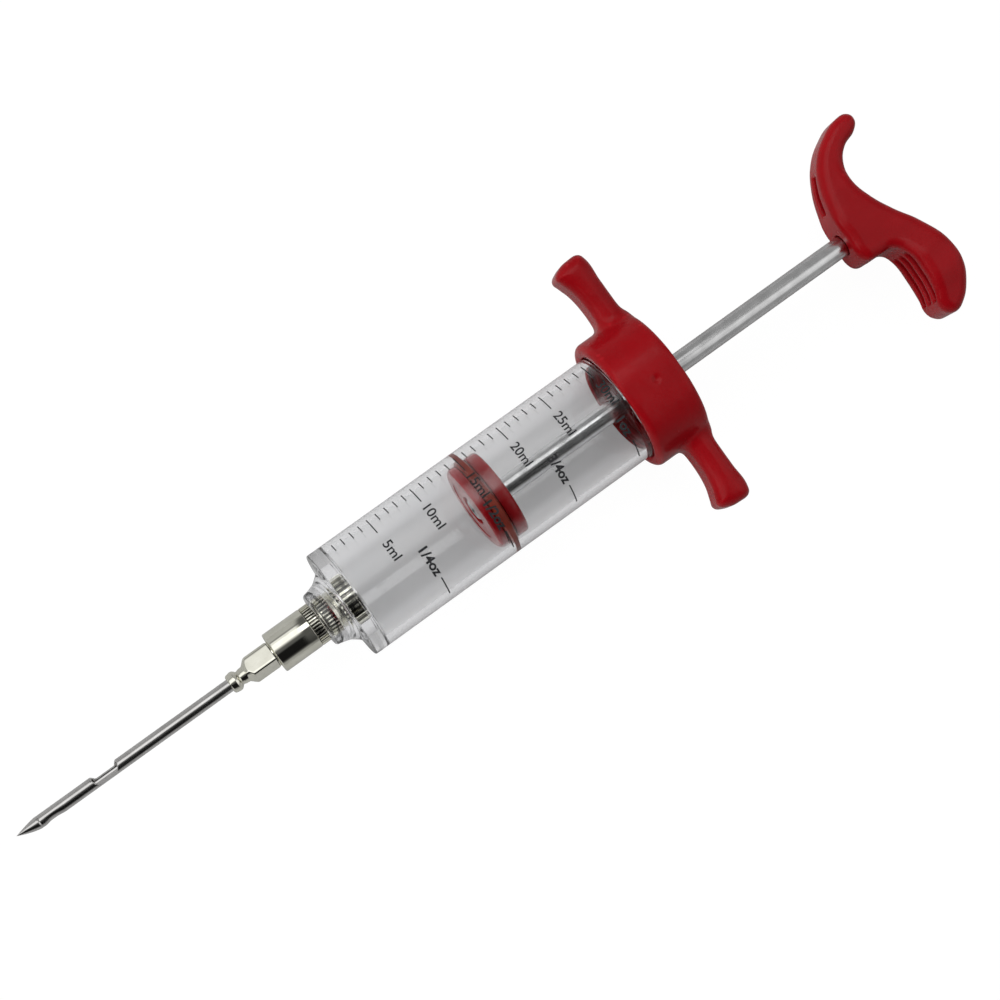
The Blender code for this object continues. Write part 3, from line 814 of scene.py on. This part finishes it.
def scale_ml(material):
    """Ticks for 1 to 30 ml, every fifth longer and numbered."""
    ticks, labels = bmesh.new(), bmesh.new()
    for volume in range(1, 31):
        x, numbered = ML_FIRST_X + ML_STEP * volume, volume % 5 == 0
        add_line(ticks, x, TICK_START, LONG_TICK_END if numbered else TICK_END, 0.26)
        if numbered:
            length = 4.9 if volume < 10 else 6.2
            start = math.degrees(length / WALL_R) + 4
            add_label(labels, "%dml" % volume, x + 0.25, start, length, 2.3, 0.012)
    add_piece("scale_ml_ticks", ticks, "barrel", material)
    add_piece("scale_ml_numbers", labels, "barrel", material)


def scale_oz(material):
    """Quarter-ounce labels, each followed by its line."""
    lines, labels = bmesh.new(), bmesh.new()
    for quarters, text in enumerate(("1/4oz", "1/2oz", "3/4oz", "1oz"), start=1):
        x = ML_FIRST_X + ML_STEP * quarters / 4 * ML_PER_OZ
        length = 7.3 if len(text) > 3 else 4.6
        start = -1.0 if len(text) > 3 else -10.0
        add_label(labels, text, x, start, length, 2.4, 0.03)
        add_line(lines, x, -36, -62, 0.3)
    add_piece("scale_oz_lines", lines, "barrel", material)
    add_piece("scale_oz_numbers", labels, "barrel", material)


# ---- cap ----


def wing_outline():
    """Finger wing on the +Y side: straight towards the handle, hollowed towards the needle."""
    rear, tip = CAP.end - 0.8, CAP.radius - 0.12
    needle_side = [(rear - 7.3, 9.0), (rear - 6.8, 14.0), (rear - 6.5, 18.4), (rear - 6.45, 22.6)]
    needle_side += [(rear - 7.0, tip - 6.75), (rear - 7.9, tip - 3.95)]
    end = [(rear - 8.35, tip - 2.05), (rear - 6.7, tip - 0.65), (rear - 3.5, tip), (rear - 0.8, tip - 0.35)]
    handle_side = [(rear, tip - 1.95), (rear, 26.0), (rear, 20.0), (rear, 9.0)]
    return smooth_outline(needle_side + end + handle_side)


def cap(material):
    """Red screw cap with two finger wings, flats above and below, a thread and a rod hole."""
    middle, half = (CAP.start + CAP.end) / 2, (CAP.end - CAP.start) / 2
    thread_start, thread_end = CAP.start + 1.2, CAP_FLOOR_X - 0.6
    outline = wing_outline()

    def distance(x, y, z):
        out, angle = np.hypot(y, z), np.arctan2(y, z)
        body = both(out - CAP_R, np.abs(x - middle) - half, 1.5)
        body = -joined(-body, AXIS_Z - np.abs(z), 0.8)
        wings = both(outline_distance(x, np.abs(y), outline), np.abs(z) - 6.0, 3.2)
        body = np.maximum(joined(body, wings, 2.2), np.abs(x - middle) - half)
        ridge = 0.42 * thread_height(x + CAP_PITCH / 2, angle, thread_start, thread_end, CAP_PITCH)
        lip = 0.4 * smooth_step(-x, -CAP.start - 1.5, -CAP.start - 0.7)
        bore = both(out - CAP_BORE_R + ridge + lip, np.maximum(x - CAP_FLOOR_X, CAP.start - 2.0 - x), 0.3)
        body = without(body, bore, 0.5)
        body = without(body, out - 4.0, 0.4)
        gate = np.sqrt((x - middle - 0.8) ** 2 + y**2 + (z - AXIS_Z - 0.75) ** 2) - 1.2
        return without(body, gate, 0.3)

    shape = moulded((CAP.start, -CAP.radius, -CAP_R), (CAP.end, CAP.radius, CAP_R), 0.3, distance)
    add_piece("cap_moulding", shape, "cap", material, ["cap"], 180)


def cap_seal(material):
    """Flat ring between the barrel's end and the cap's floor."""
    inner = SEAL.radius - 2.0
    corners = [(SEAL.start, inner, 0.3), (SEAL.start, SEAL.radius, 0.3)]
    corners += [(SEAL.end, SEAL.radius, 0.3), (SEAL.end, inner, 0.3)]
    shape = turned(rounded(corners), 96, ring=True)
    add_piece("cap_seal_gasket", shape, "cap_seal", material, ["cap_seal_ring"])


def rod_guide(material):
    """Flanged bush in the cap's hole."""
    inner, outer = ROD.radius + 0.1, 3.9
    corners = [(BUSH.start, inner, 0.1), (BUSH.start, BUSH.radius, 0.25)]
    corners += [(BUSH.start + 0.8, BUSH.radius, 0.25)]
    corners += [(BUSH.start + 0.8, outer, 0.1), (BUSH.end, outer, 0.3), (BUSH.end, inner, 0.2)]
    shape = turned(rounded(corners), 72, ring=True)
    add_piece("rod_guide_flanged", shape, "cap", material, ["rod_guide_bush"])


# ---- plunger ----


def piston_discs(material):
    """Two moulded discs with the groove for the O-ring between them, and a dish in the front face."""
    radius, front, middle = FRONT_DISC.radius, FRONT_DISC.start, FRONT_DISC.end
    groove_r, bore = 8.95, 1.6
    lip_x = middle + 0.05 - 1.3
    corners = [(front + 1.9, bore, 0.1), (front + 1.9, 3.7, 0.1)]
    corners += [(front + 0.15, 3.7, 0.3), (front + 0.15, 7.4, 0.1)]
    corners += [(front, 7.6, 0.1), (front, radius, 1.1), (lip_x, radius, 0.35), (lip_x, groove_r, 0.15)]
    corners += [(middle, groove_r, 0), (middle, bore, 0)]
    shape = turned(rounded(corners, 6), 128, ring=True)
    add_piece("piston_front_moulding", shape, "plunger", material, ["piston_front_disc"])
    start, rear = REAR_DISC.start, REAR_DISC.end
    lip_x = start - 0.05 + 1.3
    socket_x, socket_r = ROD.start - 0.1, ROD.radius + 0.1
    corners = [(start, bore, 0), (start, groove_r, 0), (lip_x, groove_r, 0.15), (lip_x, radius, 0.35)]
    corners += [(rear, radius, 0.9), (rear, 6.4, 0.2), (rear - 0.4, 6.2, 0.2), (rear - 0.4, 4.4, 0.2)]
    corners += [(rear, 4.2, 0.2), (rear, socket_r, 0.15), (socket_x, socket_r, 0), (socket_x, bore, 0)]
    shape = turned(rounded(corners, 6), 128, ring=True)
    add_piece("piston_rear_moulding", shape, "plunger", material, ["piston_rear_disc"])


def o_ring(material):
    """Rubber ring pressed flat against the bore, with a thin mould flash round it."""
    middle = (O_RING.start + O_RING.end) / 2
    section = 1.15
    centre = O_RING.radius - section
    points = []
    for k in range(40):
        angle = 2 * math.pi * k / 40
        x, r = middle + section * math.cos(angle), centre + section * math.sin(angle)
        points.append((x, min(centre + (r - centre) * 1.3, BORE_R + 0.02)))
    shape = turned(points, 128, ring=True)
    add_piece("piston_o_ring_pressed", shape, "piston_seal", material, ["piston_o_ring"], 180)


def piston_fixings(material):
    """Washer and cross-recessed screw in the piston's front."""
    washer = PISTON_WASHER
    corners = [(washer.start, 1.55, 0.08), (washer.start, washer.radius, 0.12)]
    corners += [(washer.end, washer.radius, 0.12), (washer.end, 1.55, 0.08)]
    shape = turned(rounded(corners), 64, ring=True)
    add_piece("piston_washer_pressed", shape, "plunger", material, ["piston_washer"])
    head, shank = SCREW.radius, 1.45
    front, seat = SCREW.start, SCREW.start + 1.1
    corners = [(front, 0.0, 0), (front, head - 0.3, 0.9), (seat, head, 0.15), (seat, shank, 0.1)]
    corners += [(SCREW.end, shank, 0.3), (SCREW.end, 0.0, 0)]
    points = filled_in(rounded(corners, 6), seat + 0.4, SCREW.end - 0.2, 0.07)

    def thread(x, angle, radius):
        if x < seat + 0.3:
            return radius
        return radius - 0.22 * (1 - thread_height(x, angle, seat, SCREW.end + 1, 0.5))

    screw = helper("screw", turned(points, 48, thread))
    slots = []
    for half_y, half_z in ((0.35, 1.6), (1.6, 0.35)):
        slot = box_shape((front - 1.0, -half_y, -half_z), (front + 0.6, half_y, half_z))
        slots.append(helper("slot", slot))
        screw.modifiers.new("slot", "BOOLEAN").object = slots[-1]
    shape = mesh_of(screw)
    for slot in slots:
        bpy.data.objects.remove(slot, do_unlink=True)
    add_piece("piston_screw_threaded", shape, "plunger", material, ["piston_screw"])


def plunger_rod(material):
    """Drawn rod, tapped at the piston end and threaded at the handle end."""
    front, end = ROD.start, ROD.end
    shoulder = HANDLE_INSERT.start - 0.1
    corners = [(front + 8.5, 0.0, 0), (front + 8.0, 1.55, 0), (front, 1.55, 0.1), (front, ROD.radius, 0.35)]
    corners += [(shoulder, ROD.radius, 0.3), (shoulder, 2.0, 0.1), (end, 2.0, 0.4), (end, 0.0, 0)]
    points = filled_in(rounded(corners), shoulder, end, 0.1)

    def thread(x, angle, radius):
        if x < shoulder + 0.3 or radius < 1.0:
            return radius
        return radius - 0.3 * (1 - thread_height(x, angle, shoulder, end + 1, 0.7))

    shape = turned(points, 72, thread)
    add_piece("plunger_rod_drawn", shape, "plunger", material, ["plunger_rod"])


def handle_insert(material):
    """Knurled brass insert for the rod's thread."""
    low, high, radius = HANDLE_INSERT
    corners = [(low, 2.1, 0.15), (low, radius, 0.3), (high, radius, 0.3), (high, 2.1, 0.15)]
    points = filled_in(rounded(corners) + [(low, 2.2)], low + 0.1, high - 0.1, 0.4)[:-1]
    groove = knurl(24, 0.25)

    def teeth(x, angle, r):
        return r - groove(angle) if r > radius - 0.1 else r

    shape = turned(points, 192, teeth, ring=True)
    add_piece("handle_insert_knurled", shape, "plunger", material, ["handle_insert"])


def handle_outline():
    """S-shaped T-handle seen from above: one arm curls back, the other curls round the fingers."""
    face = HANDLE.start
    upper_arm = [(0.0, 5.1), (0.6, 8.1), (2.7, 14.5), (6.1, 19.7), (10.7, 23.1), (15.3, 24.8)]
    upper_tip = [(18.3, 24.4), (19.1, 22.3), (17.5, 20.2)]
    palm = [(13.5, 18.5), (10.7, 15.5), (9.6, 11.4), (10.7, 5.7), (13.3, 0.3), (17.1, -5.9)]
    lower_arm = [(19.3, -13.3), (19.3, -18.5), (17.6, -23.1), (14.3, -26.8), (11.5, -27.8)]
    finger_side = [(9.3, -26.5), (8.6, -24.3), (9.5, -20.9), (10.1, -15.5), (9.7, -10.3), (7.5, -7.2)]
    boss = [(3.7, -6.8), (1.1, -6.3), (0.0, -4.5), (0.0, 0.3)]
    return [(face + x, y) for x, y in upper_arm + upper_tip + palm + lower_arm + finger_side + boss]


def handle_swell(y):
    """Thickness of the handle across Z at y, as a share of the boss's."""
    upper_arm = 0.30 * smooth_step(y, 2.0, 21.0)
    lower_arm = 0.26 * smooth_step(-y, 5.0, 13.0) - 0.34 * smooth_step(-y, 17.0, 28.0)
    return 1.0 - upper_arm + lower_arm


# Half the boss's thickness, and where the finger grooves lie across Z.
BOSS_HALF, GROOVE_HEIGHTS = 7.5, (-4.3, 0.0, 4.3)
# Finger groove and slot, as (x from the handle's face, y).
GROOVE = [(7.3, -10.5), (6.7, -15.9), (6.7, -21.1)]
GROOVE += [(9.7, -23.1), (11.5, -21.3), (12.1, -16.1), (11.7, -11.5), (9.9, -9.9)]
SLOT = [(-0.9, 9.5), (-0.5, 13.1), (1.7, 16.9), (4.7, 16.1), (4.5, 12.5), (2.9, 8.9), (0.7, 8.1)]


def handle(material):
    """Red T-handle with finger grooves under one arm and a slot under the other."""
    face, end = HANDLE.start, HANDLE_INSERT.end + 0.3
    shoulder, bore = HANDLE_INSERT.start - 0.1, HANDLE_INSERT.radius + 0.1
    outline = smooth_outline(handle_outline())
    groove = smooth_outline([(face + x, y) for x, y in GROOVE])
    slot = smooth_outline([(face + x, y) for x, y in SLOT])

    def distance(x, y, z):
        body = both(outline_distance(x, y, outline), np.abs(z) - BOSS_HALF * handle_swell(y), 2.4)
        in_groove = outline_distance(x, y, groove)
        for height in GROOVE_HEIGHTS:
            body = without(body, both(in_groove, np.abs(z - height) - 1.2, 0.5), 0.5)
        body = without(body, both(outline_distance(x, y, slot), np.abs(z) - 1.5, 0.4), 0.4)
        out = np.hypot(y, z)
        between = np.abs(x - (shoulder + end) / 2) - (end - shoulder) / 2
        body = without(body, both(out - bore, between, 0.1), 0.1)
        return without(body, both(out - ROD.radius - 0.15, x - shoulder - 0.5, 0.0), 0.3)

    low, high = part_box("handle")
    low, high = [(corner - Vector((0, 0, AXIS_Z * MM))) / MM for corner in (low, high)]
    shape = moulded(low, high, 0.3, distance)
    add_piece("handle_moulding", shape, "plunger", material, ["handle"], 180)


# ---- studio ----

# Light for reflections, by angle from straight up towards +Y: over the needle, leaning a little
# towards the handle, and leaning more.
NEEDLE_SKY = [(-92, 0.42), (-80, 0.36), (-70, 0.06), (-62, 0.01), (-20, 0.01), (-12, 0.10), (0, 0.14)]
NEEDLE_SKY += [(6, 0.5), (14, 1.35), (37, 1.4), (42, 1.02), (50, 1.0), (54, 0.28)]
NEEDLE_SKY += [(58, 0.28), (63, 0.5), (92, 0.5)]
BARREL_SKY = [(-92, 0.35), (-80, 0.25), (-70, 0.05), (-20, 0.1), (8, 0.1)]
BARREL_SKY += [(13, 2.4), (33, 2.4), (38, 0.1), (75, 0.12), (92, 0.4)]
HANDLE_SKY = [(-92, 0.42), (-58, 0.42), (-46, 0.9), (-6, 1.1), (6, 0.8), (14, 0.42), (92, 0.42)]


def floor():
    """Pale floor. The camera sees it nearly white, so that shadows on it stay faint, and clear plastic
    and shiny faces see it a little darker."""
    shape = bmesh.new()
    bmesh.ops.create_circle(shape, cap_ends=True, segments=96, radius=4.0)
    mesh = bpy.data.meshes.new("studio_floor")
    shape.to_mesh(mesh)
    shape.free()
    ground = bpy.data.objects.new("studio_floor", mesh)
    bpy.context.scene.collection.objects.link(ground)
    ground.location.z = CAD_BOUNDS[0].z - 0.0001
    material, tree, shader = new_material("studio_floor", 0.9, Specular_IOR_Level=0.1)
    paper = ramp(tree, noise(tree, (0.002, 0.002, 0.002)), ((0.3, (0.76,) * 3), (0.7, (0.78,) * 3)))
    path = tree.nodes.new("ShaderNodeLightPath")
    dimmed = blend(tree, path.outputs["Is Glossy Ray"], paper, (0.45, 0.45, 0.45))
    dimmed = blend(tree, path.outputs["Is Transmission Ray"], dimmed, (0.54, 0.54, 0.55))
    tree.links.new(dimmed, shader.inputs["Base Color"])
    glow = tree.nodes.new("ShaderNodeEmission")
    glow.inputs["Strength"].default_value = 1.03
    seen = ranged(tree, path.outputs["Is Camera Ray"], 0.0, 0.94, 0.0, 1.0)
    seen_through = ranged(tree, path.outputs["Is Transmission Ray"], 0.0, 0.20, 0.0, 1.0)
    share = combined(tree, "ADD", seen, seen_through)
    mixed_surface(tree, share, shader.outputs["BSDF"], glow.outputs["Emission"])
    mesh.materials.append(material)


def sky(tree, angle, stops):
    """Light for each angle round the X axis, in degrees from straight up towards +Y."""
    turns = ranged(tree, angle, 0.0, 1.0, -math.pi, math.pi)
    return ramp(tree, turns, [(0.5 + degrees / 360, (level,) * 3) for degrees, level in stops])


def world():
    """Soft bands of light and dark round the injector, so that metal shows crisp stripes."""
    studio = bpy.data.worlds.new("studio")
    bpy.context.scene.world = studio
    studio.use_nodes = True
    tree = studio.node_tree
    background = tree.nodes["Background"]
    coordinates = tree.nodes.new("ShaderNodeTexCoord")
    split = tree.nodes.new("ShaderNodeSeparateXYZ")
    tree.links.new(coordinates.outputs["Generated"], split.inputs["Vector"])
    lean = split.outputs["X"]
    angle = combined(tree, "ARCTAN2", split.outputs["Y"], split.outputs["Z"])
    near, middle, far = (sky(tree, angle, stops) for stops in (NEEDLE_SKY, BARREL_SKY, HANDLE_SKY))
    light = blend(tree, ranged(tree, lean, 0.0, 1.0, 0.085, 0.11), near, middle)
    light = blend(tree, ranged(tree, lean, 0.0, 1.0, 0.17, 0.24), light, far)
    path = tree.nodes.new("ShaderNodeLightPath")
    seen = blend(tree, path.outputs["Is Camera Ray"], light, (0.93, 0.93, 0.93))
    tree.links.new(seen, background.inputs["Color"])


def softbox(name, centre, size, power):
    """A lamp aimed at the injector. It doesn't show in its shine, which the world draws."""
    light = bpy.data.lights.new(name, "AREA")
    light.shape = "RECTANGLE"
    light.size, light.size_y = size
    light.energy = power
    lamp = bpy.data.objects.new(name, light)
    bpy.context.scene.collection.objects.link(lamp)
    lamp.location = centre
    lamp.rotation_euler = (-Vector(centre)).to_track_quat("-Z", "Y").to_euler()
    lamp.visible_glossy = False
    lamp.visible_transmission = False


def camera():
    """Looks down on the injector from over its needle, turned so that the needle points down left."""
    aim = Vector((0.0053, -0.0016, AXIS_Z * MM))
    tilt, roll, distance = math.radians(8.3), math.radians(-35.70), 0.568
    data = bpy.data.cameras.new("photo_view")
    data.lens = 90.0
    data.sensor_width = 36.0
    view = bpy.data.objects.new("photo_view", data)
    bpy.context.scene.collection.objects.link(view)
    turn = Matrix.Rotation(-tilt, 4, "Y") @ Matrix.Rotation(roll, 4, "Z")
    view.matrix_world = Matrix.Translation(aim) @ turn @ Matrix.Translation((0, 0, distance))
    bpy.context.scene.camera = view


def studio():
    """Floor, surroundings, lamps and camera."""
    floor()
    world()
    softbox("main_softbox", (0.0, 0.6, 1.0), (1.6, 1.0), 7.5)
    softbox("needle_side_softbox", (-1.6, 0.1, 0.8), (1.0, 0.8), 15.0)
    camera()
    bpy.context.scene.view_settings.view_transform = "Standard"


def main():
    """Every piece, then the studio."""
    materials = make_materials()
    needle_point(materials["needle_steel"])
    needle_tube(materials["needle_steel"])
    needle_hub(materials["nickel_plate"])
    needle_washer(materials["white_nylon"])
    lock_sleeve(materials["nickel_plate"])
    nozzle_insert(materials["knurled_nickel"])
    barrel(materials["clear_acrylic"])
    scale_ml(materials["ink"])
    scale_oz(materials["ink"])
    cap(materials["red_plastic"])
    cap_seal(materials["silicone"])
    rod_guide(materials["white_nylon"])
    piston_discs(materials["piston_plastic"])
    o_ring(materials["silicone"])
    piston_fixings(materials["rod_steel"])
    plunger_rod(materials["rod_steel"])
    handle_insert(materials["brass"])
    handle(materials["red_plastic"])
    studio()


main()
